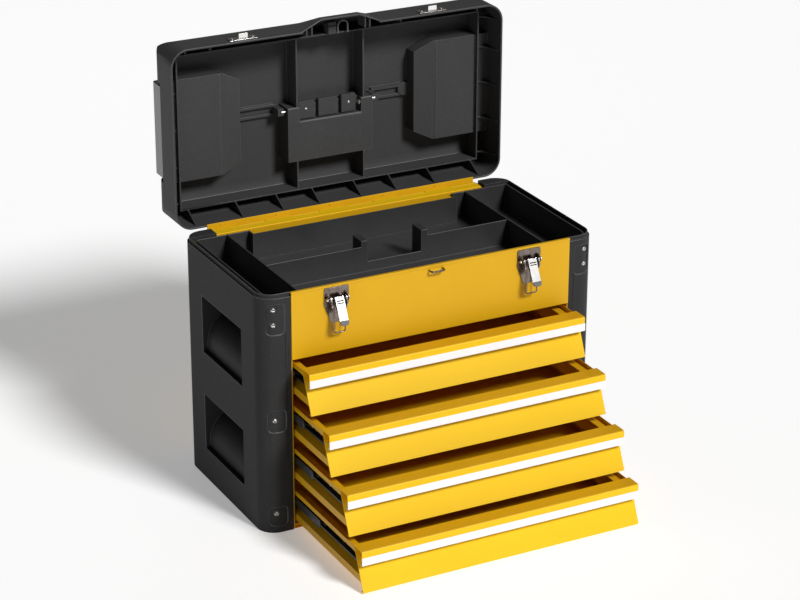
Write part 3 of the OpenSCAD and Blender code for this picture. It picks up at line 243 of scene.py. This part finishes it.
def eased(node, name, material, width, wider=(), second=None, cutter=None, highlight_edges=None):
    """A copy of a CAD node, merged, with its edges eased as mould or press leaves them.
    Each entry of wider is a test of an edge, and the larger width that it gets. The
    second finish comes with a test of the faces that it covers. A cutter is carved out."""
    form = bmesh.new()
    form.from_mesh(nodes[node].data)
    bmesh.ops.remove_doubles(form, verts=form.verts, dist=merge_gap)
    materials = [material] + ([second[0]] if second else [])
    if second:
        for face in form.faces:
            face.material_index = int(second[1](face))
    for test, radius in wider:
        rounded = bmesh.ops.bevel(
            form,
            geom=[edge for edge in form.edges if len(edge.link_faces) == 2
                  and edge.calc_face_angle(0) > least_corner and test(edge)],
            offset=radius,
            affect="EDGES",
            segments=5,
            profile=0.5,
            material=-1,
        )
        # the widened edges take the lighter finish of the painted highlight too
        if highlight_edges:
            for face in rounded["faces"]:
                face.material_index = len(materials)
    mesh = bpy.data.meshes.new(name)
    form.to_mesh(mesh)
    form.free()
    for coating in materials:
        mesh.materials.append(coating)
    if cutter:
        mesh = carved(mesh, cutter)
    body = nodes[node]["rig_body"]
    piece = dressed(mesh, name, materials, body, width, highlight_edges)
    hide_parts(node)


# Lighter black plastic with a stronger sheen: a painted highlight on the eased edges of the
# mouldings.
edge_highlight_plastic = moulded_plastic(
    "black_edges_painted_highlight", dark=(0.07, 0.07, 0.071), light=(0.11, 0.11, 0.111),
    grain=1900, roughness=0.36, specular=0.5,
)
for hand in ("left", "right"):
    eased(f"side_panel_{hand}", f"end_moulding_{hand}", case_plastic,
          0.5 * MM, highlight_edges=edge_highlight_plastic)


# ------------------------------------------------------------------ cabinet
# The cabinet is folded from 1.2 mm sheet steel and sprayed with a warm yellow
# powder coat. A rolled band closes the top of its front panel, and a floor
# parts the tray's compartment from the drawers.
def powder_coat(name, deep, bright, roughness):
    """Sprayed and baked powder: even colour, a faint orange peel and fine specks."""
    material, shader, place = finish(name, roughness, specular=0.25)
    peel_depth = 0.02 * MM
    ripple = place.noise(420, detail=2, roughness=0.4)
    cloud = place.noise(7, detail=3, roughness=0.5)
    speck = place.noise(2600, detail=1).ramp((0.68, 0), (0.76, 1))
    feed(
        shader,
        Base_Color=(cloud * 0.7 + ripple * 0.2 + speck * 0.1)
        .ramp((0.3, 0), (0.7, 1))
        .mix((*deep, 1), (*bright, 1)),
        Roughness=roughness - 0.05 + ripple * 0.1,
        Normal=bump(ripple, peel_depth),
    )
    return material


case_yellow = powder_coat(
    "case_yellow_coat", deep=(0.69, 0.385, 0.006), bright=(0.735, 0.41, 0.008), roughness=0.42
)
for node in (
    "front_panel", "back_panel", "base_pan", "inner_wall_left", "inner_wall_right",
    "compartment_floor",
):
    eased(node, f"steel_{node}", case_yellow, 0.3 * MM)


# ---------------------------------------------------------------- fasteners
# Zinc-plated pan-head screws with cross recesses hold the end panels and the
# handle's housing. The plate is bright, slightly mottled and rubbed by the
# driver.
LEFT, RIGHT = -1, 1


def plated_steel(name, deep, bright, roughness):
    """Plated steel with a faint spangle, rub marks and stains."""
    material, shader, place = finish(name, roughness, metallic=1.0)
    rub_depth = 0.01 * MM
    spangle = place.noise(900, detail=2, roughness=0.6)
    rub = place.noise(1500, detail=3, roughness=0.6)
    stain = place.noise(140, detail=4).ramp((0.4, 0), (0.75, 1))
    feed(
        shader,
        Base_Color=(spangle * 0.4 + rub * 0.2 + stain * 0.4)
        .ramp((0.25, 0), (0.75, 1))
        .mix((*bright, 1), (*deep, 1)),
        Roughness=roughness - 0.08 + rub * 0.16,
        Normal=bump(rub, rub_depth),
    )
    return material


zinc = plated_steel(
    "bright_zinc_plate", deep=(0.52, 0.51, 0.49), bright=(0.78, 0.77, 0.75), roughness=0.3
)


def slab(form, low, high, rounding=0):
    """Adds a block between two corners to the form, all in millimetres."""
    low, high = Vector(low) * MM, Vector(high) * MM
    size = Matrix.Diagonal((*(high - low), 1))
    made = bmesh.ops.create_cube(
        form, size=1, matrix=Matrix.Translation((low + high) / 2) @ size
    )["verts"]
    if rounding:
        edges = {edge for vert in made for edge in vert.link_edges}
        bmesh.ops.bevel(form, geom=list(edges), offset=rounding * MM, affect="EDGES",
                        segments=3, profile=0.5, material=-1)


def cross_recesses(places, reach, half_slot, depth):
    """A cutter of cross slots for screws that face the front, their tops at the places."""
    form = bmesh.new()
    for x, y, z in places:
        for across, up in ((reach, half_slot), (half_slot, reach)):
            slab(form, (x - across, y - 1, z - up), (x + across, y + depth, z + up))
    return form


case_screw_x, case_screw_top_y = 229.5, -125.85
case_screw_heights = (317, 296, 162, 28)
eased(
    "case_screws", "case_screw_heads", zinc, 0,
    cutter=cross_recesses(
        [(side * case_screw_x, case_screw_top_y, z)
         for side in (LEFT, RIGHT) for z in case_screw_heights],
        reach=1.9, half_slot=0.35, depth=0.9,
    ),
)
housing_screw_x, housing_screw_top_y, housing_screw_z = 33, 184.6, 452.5
eased(
    "housing_screws", "housing_screw_heads", zinc, 0,
    cutter=cross_recesses(
        [(side * housing_screw_x, housing_screw_top_y, housing_screw_z)
         for side in (LEFT, RIGHT)],
        reach=1.5, half_slot=0.3, depth=0.8,
    ),
)


# ------------------------------------------------------------------ runners
# Lipped channels, roll-formed from 1.2 mm steel and coated black, are fixed
# to the inner walls of the cabinet. Each drawer carries a pair of its own,
# and a middle member with balls runs between the two.
def runner_coat():
    """Black electrocoat on rolled steel, with rub marks drawn out along the slide."""
    material, shader, place = finish("black_runner_coat", 0.36, metallic=0.5)
    rub_depth = 0.01 * MM
    rub = place.stretched(1, 0.05, 1).noise(1300, detail=3, roughness=0.7)
    worn = place.stretched(1, 0.2, 1).noise(160, detail=4).ramp((0.55, 0), (0.75, 1))
    feed(
        shader,
        Base_Color=(worn * 0.5 + rub * 0.2).mix((0.035, 0.036, 0.037, 1), (0.16, 0.16, 0.16, 1)),
        Roughness=0.32 + rub * 0.16,
        Normal=bump(rub, rub_depth),
    )
    return material


runner_black = runner_coat()
runner_edge = 0.25 * MM
for hand in ("left", "right"):
    eased(f"outer_runners_{hand}", f"cabinet_runners_{hand}", runner_black,
          runner_edge)


# ------------------------------------------------------------------ drawers
# Each drawer is a folded steel box behind a slanted front. The front is
# turned over into a rounded nose, and a bright strip clips over the grip.
box_yellow = powder_coat(
    "box_yellow_coat", deep=(0.68, 0.36, 0.005), bright=(0.73, 0.39, 0.007), roughness=0.42
)
# A lighter copy of the same yellow coat: painted light on the drawers' slanted fronts and on the
# hinge's lower leaf.
painted_light_yellow = powder_coat(
    "drawer_yellow_coat_painted_lighter", deep=(0.86, 0.53, 0.005), bright=(0.90, 0.56, 0.007), roughness=0.4
)


def bright_strip():
    """Anodised strip, polished along its length."""
    material, shader, place = finish("bright_aluminium_strip", 0.3, metallic=0.1)
    line_depth = 0.006 * MM
    line = place.stretched(0.02, 1, 1).noise(2400, detail=2, roughness=0.7)
    cloud = place.noise(30, detail=3)
    feed(
        shader,
        Base_Color=(line * 0.6 + cloud * 0.4).mix((0.88, 0.88, 0.88, 1), (0.99, 0.99, 0.99, 1)),
        Roughness=0.24 + line * 0.14,
        Normal=bump(line, line_depth),
    )
    return material


strip_metal = bright_strip()
drawer_numbers = range(1, 5)
nose_shade_upness = 0.7  # the nose's top faces up by more than this, and the slope below it by 0.41
for n in drawer_numbers:
    eased(f"drawer_{n}_box", f"drawer_{n}_steel_box", box_yellow, 0.25 * MM)
    # The front's upward faces, the top of the nose, take the darker box coat as painted shade.
    eased(
        f"drawer_{n}_front", f"drawer_{n}_folded_front", painted_light_yellow, 0.25 * MM,
        second=(box_yellow, lambda face: face.normal.z > nose_shade_upness),
    )
    eased(f"drawer_{n}_trim", f"drawer_{n}_strip", strip_metal, 0.2 * MM)
    eased(f"drawer_{n}_runners", f"drawer_{n}_channels", runner_black,
          runner_edge)
    eased(f"drawer_{n}_screws", f"drawer_{n}_screw_heads", zinc, 0.1 * MM)
    eased(f"drawer_{n}_mid_runners", f"drawer_{n}_mid_members", runner_black, 0)


# -------------------------------------------------------- rivets and stops
# Flat zinc-plated rivets hold each channel to its drawer, and two small stops
# of yellow passivated steel stand on its web, behind the nose.
def domed(form, seat, facing, radius, height):
    """Adds a domed head that sits on a place and faces one way, in millimetres."""
    lie = Vector(facing).to_track_quat("Z", "Y").to_matrix().to_4x4()
    shape = Matrix.Diagonal((radius * MM, radius * MM, height * MM, 1))
    bmesh.ops.create_uvsphere(
        form, u_segments=20, v_segments=10, radius=1,
        matrix=Matrix.Translation(Vector(seat) * MM) @ lie @ shape,
    )


def fitted(form, name, materials, beside, width=0, place=Matrix.Identity(4)):
    """Finishes a form that has no node of its own. It moves with the node it sits beside."""
    bmesh.ops.transform(form, matrix=place, verts=form.verts)
    bmesh.ops.recalc_face_normals(form, faces=form.faces)
    mesh = bpy.data.meshes.new(name)
    form.to_mesh(mesh)
    form.free()
    dressed(mesh, name, materials, nodes[beside]["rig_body"], width)


yellow_zinc = plated_steel(
    "yellow_passivated_zinc", deep=(0.34, 0.22, 0.06), bright=(0.52, 0.38, 0.14), roughness=0.34
)
channel_web_x, line_drop = 190.7, 4.2
rivet_backs, rivet_radius, rivet_height = (58, 155), 2.4, 0.6
stop_backs, stop_thickness, stop_edge = (32, 46), 0.5, 0.15
stop_half_length, stop_half_height = 2.2, 0.8
for n in drawer_numbers:
    low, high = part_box(f"drawer_{n}_runners")
    front, middle_z = low[1] / MM, (low[2] + high[2]) / 2 / MM
    rivets, stops = bmesh.new(), bmesh.new()
    for side in (LEFT, RIGHT):
        web = side * channel_web_x
        for back in rivet_backs:
            domed(rivets, (web, front + back, middle_z - line_drop), (side, 0, 0),
                  rivet_radius, rivet_height)
        near, far = sorted((web, web + side * stop_thickness))
        for back in stop_backs:
            slab(stops,
                 (near, front + back - stop_half_length, middle_z - line_drop - stop_half_height),
                 (far, front + back + stop_half_length, middle_z - line_drop + stop_half_height),
                 stop_edge)
    fitted(rivets, f"drawer_{n}_channel_rivets", [zinc], f"drawer_{n}_box")
    fitted(stops, f"drawer_{n}_channel_stops", [yellow_zinc], f"drawer_{n}_box")


# --------------------------------------------------------------- tote tray
# One smooth black moulding lies between the collars of the end panels. It
# has four bins, and two hollow posts with a dip between them form its grip.
tray_plastic = moulded_plastic(
    "tray_black_moulding", dark=(0.032, 0.032, 0.033), light=(0.046, 0.046, 0.047),
    grain=1200, roughness=0.36,
)
eased("tote_tray", "tote_tray_moulding", tray_plastic, 0.5 * MM,
      highlight_edges=edge_highlight_plastic)


# -------------------------------------------------------------------- hinge
# A piano hinge runs along the back: two steel leaves, coated yellow and
# rolled into knuckles, turn on a plain wire pin that ends flush with them.
# The lower leaf takes the lighter copy of the coat as painted light.
eased("hinge_lower_leaf", "hinge_lower_leaf_folded", painted_light_yellow, 0.4 * MM)
eased("hinge_upper_leaf", "hinge_upper_leaf_folded", case_yellow, 0.4 * MM)
eased("hinge_pin", "hinge_pin_wire", zinc, 0.2 * MM)


# ---------------------------------------------------------------------- lid
# The lid is one deep black moulding, stiffened inside by ribs, with two
# organizer cups that open outwards. The well of the carrying handle is a
# moulding of its own, and rivets hold the hinge and the catches.
lid_plastic = moulded_plastic(
    "lid_black_moulding", dark=(0.052, 0.052, 0.053), light=(0.068, 0.068, 0.069),
    grain=1600, roughness=0.42, specular=0.05,
)
eased("lid_shell", "lid_moulding", lid_plastic, 0.4 * MM, highlight_edges=edge_highlight_plastic)
well_face_y, well_middle_z, least_run = 175.2 * MM, 440 * MM, 2 * MM
well_radius = 1.3 * MM


def across_well(edge):
    """An edge that runs across the well's face, at its top or at the foot of its notch."""
    start, end = (vert.co for vert in edge.verts)
    on_face = max(start.y, end.y) < well_face_y and min(start.z, end.z) > well_middle_z
    return on_face and abs(start.x - end.x) > least_run


eased(
    "handle_housing", "handle_well_moulding", lid_plastic, 0.5 * MM,
    wider=((across_well, well_radius),), highlight_edges=edge_highlight_plastic,
)
eased("handle_pins", "handle_pin_rods", zinc, 0.2 * MM)
hinge_rivets_top_z = 400 * MM
eased(
    "lid_rivets", "lid_rivet_heads", zinc, 0.1 * MM,
    second=(case_yellow, lambda face: face.calc_center_median().z < hinge_rivets_top_z),
)
eased("cover_pins", "cover_pin_wires", zinc, 0.2 * MM)


# --------------------------------------------------------------------- hood
# A stepped stop block and a hanging loop stand inside the hood of the lid's
# front edge. The block is of black plastic like the lid; the loop is of the
# lighter plastic of the painted edge highlights.
def rod(form, start, end, radius, steps=16):
    """Adds a round bar between two points, in millimetres."""
    start, end = Vector(start) * MM, Vector(end) * MM
    lie = (end - start).to_track_quat("Z", "Y").to_matrix().to_4x4()
    bmesh.ops.create_cone(
        form, cap_ends=True, segments=steps, radius1=radius * MM, radius2=radius * MM,
        depth=(end - start).length, matrix=Matrix.Translation((start + end) / 2) @ lie,
    )


stop_left_x, stop_right_x, stop_front_y, stop_rounding = -8, 4, 163, 1.2
hood_block = bmesh.new()
for back_y, foot_z, top_z in ((179, 569.8, 583.6), (169.5, 580, 587.6)):
    slab(hood_block, (stop_left_x, stop_front_y, foot_z), (stop_right_x, back_y, top_z),
         stop_rounding)
fitted(hood_block, "hood_stop_block", [lid_plastic], "lid_shell")

loop_middle, loop_radius, loop_wire, loop_leg = Vector((14.5, 165, 580)), 7.5, 1.4, 10.2
loop_sides = 12
loop = bmesh.new()
bmesh.ops.create_circle(
    loop, segments=loop_sides, radius=loop_wire * MM,
    matrix=Matrix.Translation((loop_middle + Vector((loop_radius, 0, 0))) * MM),
)
bmesh.ops.spin(
    loop, geom=loop.edges[:] + loop.verts[:], cent=loop_middle * MM, axis=(0, -1, 0),
    angle=math.pi, steps=20,
)
bmesh.ops.holes_fill(loop, edges=loop.edges)
for side in (LEFT, RIGHT):
    foot = loop_middle + Vector((side * loop_radius, 0, 0))
    rod(loop, foot - Vector((0, 0, loop_leg)), foot, loop_wire, loop_sides)
fitted(loop, "hood_hanging_loop", [edge_highlight_plastic], "lid_shell")


# -------------------------------------------------------------- handle well
# Three plastic blocks stand in the notch of the well, two of them with a small
# screw, and the coil spring that folds the handle sits beside the last.
block_spans = ((-47, -22), (-16, 13), (19, 41))
block_front_y, block_back_y = 180, 187.5
block_foot_z, block_top_z, block_rounding = 450.2, 475.5, 0.8
blocks = bmesh.new()
for start_x, end_x in block_spans:
    slab(blocks, (start_x, block_front_y, block_foot_z), (end_x, block_back_y, block_top_z),
         block_rounding)
fitted(blocks, "handle_well_blocks", [lid_plastic], "handle_housing")

block_screw_z, block_screw_radius, block_screw_height = 464, 2.1, 1.3
block_screws = bmesh.new()
for screw_x in (-35, 30):
    domed(block_screws, (screw_x, block_front_y, block_screw_z), (0, -1, 0),
          block_screw_radius, block_screw_height)
fitted(block_screws, "handle_block_screws", [zinc], "handle_housing")

spring_x, spring_y, spring_z, spring_length = 44, 180.2, 462, 2.9
coil_turns, coil_steps, coil_radius, wire_radius = 4, 20, 3.4, 0.45
spring = bmesh.new()
bmesh.ops.create_circle(
    spring, segments=8, radius=wire_radius * MM,
    matrix=Matrix.Translation(Vector((spring_x, spring_y - coil_radius, spring_z)) * MM),
)
bmesh.ops.spin(
    spring, geom=spring.edges[:] + spring.verts[:],
    cent=Vector((spring_x, spring_y, spring_z)) * MM, axis=(1, 0, 0),
    dvec=Vector((spring_length / (coil_turns * coil_steps), 0, 0)) * MM,
    angle=coil_turns * math.tau, steps=coil_turns * coil_steps,
)
fitted(spring, "handle_spring", [zinc], "handle_housing")


# ---------------------------------------------------- covers and the handle
# The organizers are shut by grey moulded covers that swing on wire pins. The
# handle is a black moulding that folds flat into the lid's top.
cover_grey = moulded_plastic(
    "cover_grey_moulding", dark=(0.27, 0.27, 0.265), light=(0.33, 0.33, 0.325),
    grain=1200, roughness=0.42, specular=0.3,
)
for hand in ("left", "right"):
    eased(f"organizer_cover_{hand}", f"organizer_lid_{hand}", cover_grey, 0.5 * MM)

handle_plastic = moulded_plastic(
    "handle_black_moulding", dark=(0.02, 0.02, 0.02), light=(0.032, 0.032, 0.033),
    grain=2200, roughness=0.55,
)
eased("carry_handle", "folding_handle", handle_plastic, 0.8 * MM)


# ------------------------------------------------------------------ latches
# Pressed and nickel-plated draw latches: a base plate with two ears, a lever
# with a rounded blade, a wire loop, and a catch plate riveted to the lid. The
# padlock staple between the two latches is bent from thicker wire.
nickel = plated_steel(
    "nickel_plate", deep=(0.12, 0.098, 0.085), bright=(0.26, 0.215, 0.19), roughness=0.22
)
# A bright copy of the nickel: the rivet heads' own finish, and a painted highlight on the forward
# faces of the levers and catches and on the rod along each plate.
bright_nickel_and_glint = plated_steel(
    "bright_nickel_and_painted_glint", deep=(0.80, 0.79, 0.77), bright=(0.95, 0.94, 0.92), roughness=0.24
)
# A grey slab over the blade's bent tip, put in place of its dark reflection: a painted
# reflection.
tip_painted_reflection = moulded_plastic(
    "grey_tip_painted_reflection", dark=(0.11, 0.11, 0.112), light=(0.15, 0.15, 0.152),
    grain=1500, roughness=0.4, specular=0.3,
)
latch_x, latch_pivot_y, latch_pivot_z = 142, -134, 320
lever_turn = Matrix.Rotation(math.radians(-26.6), 4, "X")
glint_facing = 0.7  # a face that looks forward by more than this gets the bright nickel as a painted highlight

# On the lever's blade, measured from its pivot with the lever hanging straight down
slot_tops, slot_height, slot_half_width = (-3.2, -6.2), 1.3, 4.9
slot_front_y, slot_back_y = -6, -2.2
tip_half_width, tip_front_y, tip_back_y = 6.25, -5.2, -3.9
tip_foot_z, tip_top_z, tip_corner_z, tip_radius = -36, -29.5, -33 * MM, 4 * MM

# A bright rod that lies within the plate's thickness, a painted highlight of the hook's folded
# edge, and rivet heads on the lever's pin
glint_rod_start_x, glint_rod_end_x, glint_rod_y, glint_rod_z, glint_rod_radius = -3, 11, -128.2, 331.2, 0.6
pin_rivet_x, pin_rivet_radius, pin_rivet_height = 15.3, 2.1, 1.4
plate_shoulder_z, plate_radius = 334 * MM, 2.5 * MM


def through_sheet(edge, least):
    """An edge that runs from the front of a plate to its back."""
    return abs(edge.verts[0].co.y - edge.verts[1].co.y) > least


def plate_corner(edge):
    """The two upper corners of the base plate."""
    return through_sheet(edge, 0.5 * MM) and min(v.co.z for v in edge.verts) > plate_shoulder_z


for side, hand in ((LEFT, "left"), (RIGHT, "right")):
    pivot = Matrix.Translation(Vector((side * latch_x, latch_pivot_y, latch_pivot_z)) * MM)
    lever_place = pivot @ lever_turn
    eased(
        f"latch_plate_{hand}", f"latch_base_{hand}", nickel, 0.25 * MM,
        wider=((plate_corner, plate_radius),),
    )
    slots = bmesh.new()
    for top in slot_tops:
        slab(slots, (-slot_half_width, slot_front_y, top - slot_height),
             (slot_half_width, slot_back_y, top))
    bmesh.ops.transform(slots, matrix=lever_place, verts=slots.verts)
    front = lever_place.to_3x3() @ Vector((0, -1, 0))
    # The lever's forward faces take the bright nickel as a painted highlight, the rest the darker
    # nickel.
    eased(
        f"latch_lever_{hand}", f"latch_blade_{hand}", nickel, 0.15 * MM,
        second=(bright_nickel_and_glint, lambda face: face.normal.dot(front) > glint_facing), cutter=slots,
    )
    # The grey tip piece: painted reflection on the bent end of the blade.
    tip = bmesh.new()
    slab(tip, (-tip_half_width, tip_front_y, tip_foot_z), (tip_half_width, tip_back_y, tip_top_z))
    bmesh.ops.bevel(
        tip, geom=[edge for edge in tip.edges
                   if through_sheet(edge, 1 * MM) and edge.verts[0].co.z < tip_corner_z],
        offset=tip_radius, affect="EDGES", segments=6, profile=0.5, material=-1,
    )
    fitted(tip, f"latch_tip_{hand}", [tip_painted_reflection], f"latch_lever_{hand}",
           0.4 * MM, lever_place)
    eased(f"latch_loop_{hand}", f"latch_wire_{hand}", nickel, 0)
    # The catch's forward faces take the bright nickel as a painted highlight.
    eased(
        f"catch_{hand}", f"catch_plate_{hand}", nickel, 0.2 * MM,
        second=(bright_nickel_and_glint, lambda face: face.normal.y < -glint_facing),
    )
    # The bright rod is a painted highlight; the domes are the pin's rivet heads.
    trim = bmesh.new()
    rod(trim, (side * latch_x + glint_rod_start_x, glint_rod_y, glint_rod_z),
        (side * latch_x + glint_rod_end_x, glint_rod_y, glint_rod_z), glint_rod_radius)
    for rivet_x in (-pin_rivet_x, pin_rivet_x):
        domed(trim, (side * latch_x + rivet_x, latch_pivot_y, latch_pivot_z),
              (rivet_x, 0, 0), pin_rivet_radius, pin_rivet_height)
    fitted(trim, f"latch_bright_parts_{hand}", [bright_nickel_and_glint],
           f"latch_plate_{hand}")
eased("latch_pins", "latch_pin_ends", nickel, 0.1 * MM)
eased("padlock_staple", "staple_wire", nickel, 0)


# -------------------------------------------------------- floor and light
# A pale seamless floor lies under the tool box, lit by a soft front light and
# a square panel behind. The camera stands at the photograph's place.
floor_half_width, floor_drop = 20, 0.2 * MM
floor_form = bmesh.new()
bmesh.ops.create_grid(floor_form, x_segments=1, y_segments=1, size=floor_half_width)
floor_mesh = bpy.data.meshes.new("floor")
floor_form.to_mesh(floor_mesh)
floor_form.free()
floor = bpy.data.objects.new("floor", floor_mesh)
bpy.context.collection.objects.link(floor)
floor.location.z = -floor_drop
floor_paint, floor_shader, _ = finish("pale_floor", 0.7, specular=0.2)
floor_shader.inputs["Base Color"].default_value = (0.97, 0.97, 0.97, 1)
floor_shader.inputs["Emission Color"].default_value = (1, 1, 1, 1)
floor_shader.inputs["Emission Strength"].default_value = 0.33
floor_mesh.materials.append(floor_paint)

bpy.context.scene.view_settings.view_transform = "Standard"
world = bpy.data.worlds.new("studio")
bpy.context.scene.world = world
world.use_nodes = True
backdrop = world.node_tree.nodes["Background"]
backdrop.inputs["Color"].default_value = (1, 1, 1, 1)
backdrop.inputs["Strength"].default_value = 0.05

light_aim = Vector((0, 0, 0.25))
key_spread, back_width = math.radians(14), 1.4
for name, kind, place, size, power in (
    ("key_light", "SUN", (0.6, -1.75, 1.8), key_spread, 2.9),
    ("back_strip", "AREA", (0.7, 2.2, 1.9), back_width, 2),
):
    lamp = bpy.data.lights.new(name, kind)
    if kind == "SUN":
        lamp.angle = size
    else:
        lamp.size = size
    lamp.energy = power
    light = bpy.data.objects.new(name, lamp)
    light.location = place
    light.rotation_euler = (light_aim - Vector(place)).to_track_quat("-Z", "Y").to_euler()
    bpy.context.collection.objects.link(light)

camera_place = Vector((-1.46586, -2.83269, 1.58419))
camera_yaw, camera_pitch, camera_roll = (math.radians(a) for a in (27.63, -22.85, 0.13))
photo_width, focal_px = 800, 2557.36
ahead = Vector((
    math.sin(camera_yaw) * math.cos(camera_pitch),
    math.cos(camera_yaw) * math.cos(camera_pitch),
    math.sin(camera_pitch),
))
level = Vector((math.cos(camera_yaw), -math.sin(camera_yaw), 0))
upright = level.cross(ahead)
across = level * math.cos(camera_roll) + upright * math.sin(camera_roll)
upward = upright * math.cos(camera_roll) - level * math.sin(camera_roll)
lens = bpy.data.cameras.new("photo_camera")
lens.sensor_width = 36
lens.lens = lens.sensor_width * focal_px / photo_width
camera = bpy.data.objects.new("photo_camera", lens)
camera.matrix_world = Matrix.Translation(camera_place) @ Matrix(
    (across, upward, -ahead)
).transposed().to_4x4()
bpy.context.collection.objects.link(camera)
bpy.context.scene.camera = camera

bpy.context.view_layer.update()
